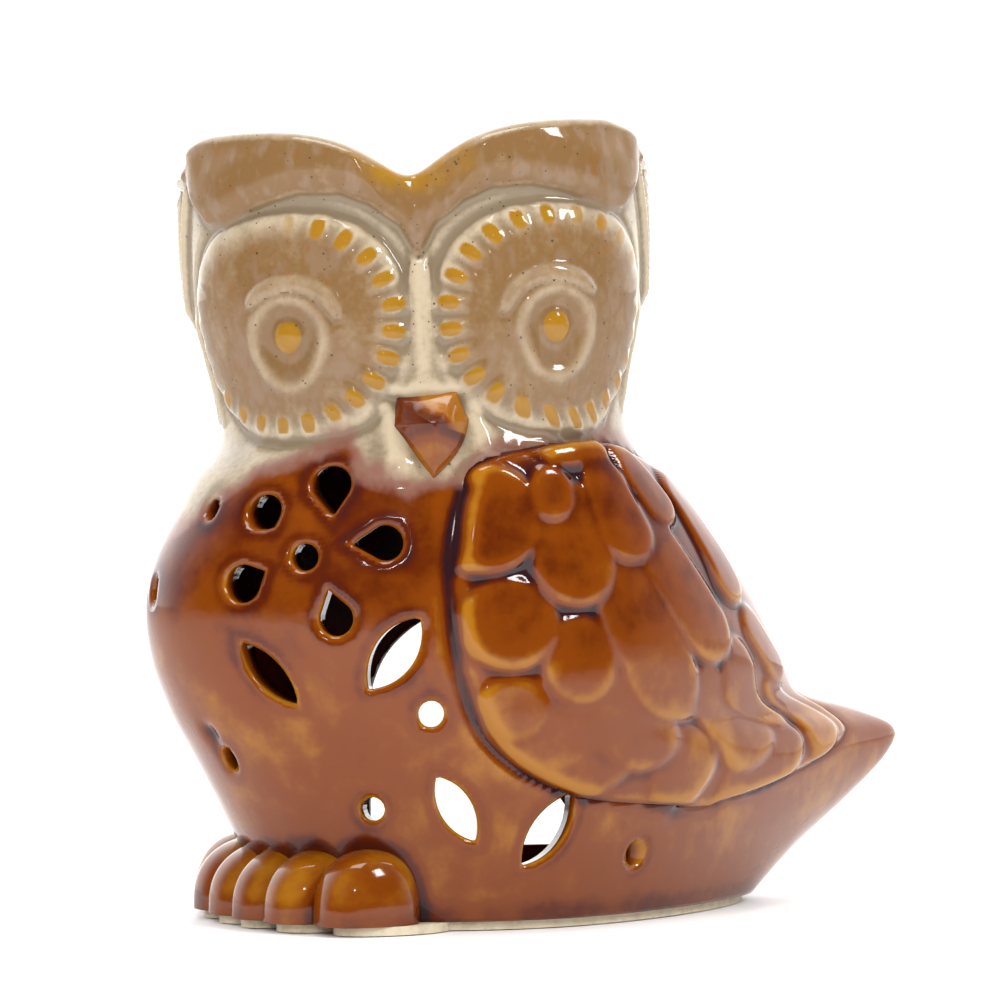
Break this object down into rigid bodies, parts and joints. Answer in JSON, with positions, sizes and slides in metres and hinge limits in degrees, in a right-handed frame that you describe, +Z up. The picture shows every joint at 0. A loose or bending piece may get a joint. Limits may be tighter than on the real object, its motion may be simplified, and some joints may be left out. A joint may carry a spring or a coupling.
{
  "type": "owl oil burner",
  "caption": "Pierced ceramic owl with a candle chamber and arched rear opening in its body, an oil dish in its open head, relief wings and face, and a turned tail.",
  "frame": {"origin": "middle of the owl's bounding box, on the plane it stands on", "axes": "+Z up out of the chamber floor, -Y the way the face looks, +X to the owl's left"},
  "size_m": [0.1461, 0.0984, 0.1491],
  "materials": {
    "clay": "bare fired clay, matt",
    "body_glaze": "glossy amber-brown glaze, dark where it pools",
    "head_glaze": "glossy speckled grey-beige glaze",
    "brow_glaze": "glossy tan glaze, yellow where it is thin",
    "amber_glaze": "glossy amber glaze on raised marks",
    "beak_glaze": "glossy dark red-brown glaze"
  },
  "bodies": {
    "root": {"foot_ring": "clay", "chamber_floor": "body_glaze", "body_shell": "body_glaze", "head_shell": "head_glaze", "oil_dish": "head_glaze", "right_brow": "brow_glaze", "left_brow": "brow_glaze", "brow_peak": "brow_glaze", "right_ear": "head_glaze", "left_ear": "head_glaze", "right_face_disc": "head_glaze", "left_face_disc": "head_glaze", "right_eyelid": "head_glaze", "left_eyelid": "head_glaze", "right_eye_ring": "head_glaze", "left_eye_ring": "head_glaze", "right_pupil": "amber_glaze", "left_pupil": "amber_glaze", "right_face_rays": "amber_glaze", "left_face_rays": "amber_glaze", "nose_bridge": "head_glaze", "beak": "beak_glaze", "left_wing": "body_glaze", "left_shoulder_feathers": "body_glaze", "left_covert_feathers": "body_glaze", "left_flight_feathers": "body_glaze", "left_hem_feathers": "body_glaze", "right_wing": "body_glaze", "right_shoulder_feathers": "body_glaze", "left_foot": "body_glaze", "right_foot": "body_glaze"}
  },
  "joints": []
}
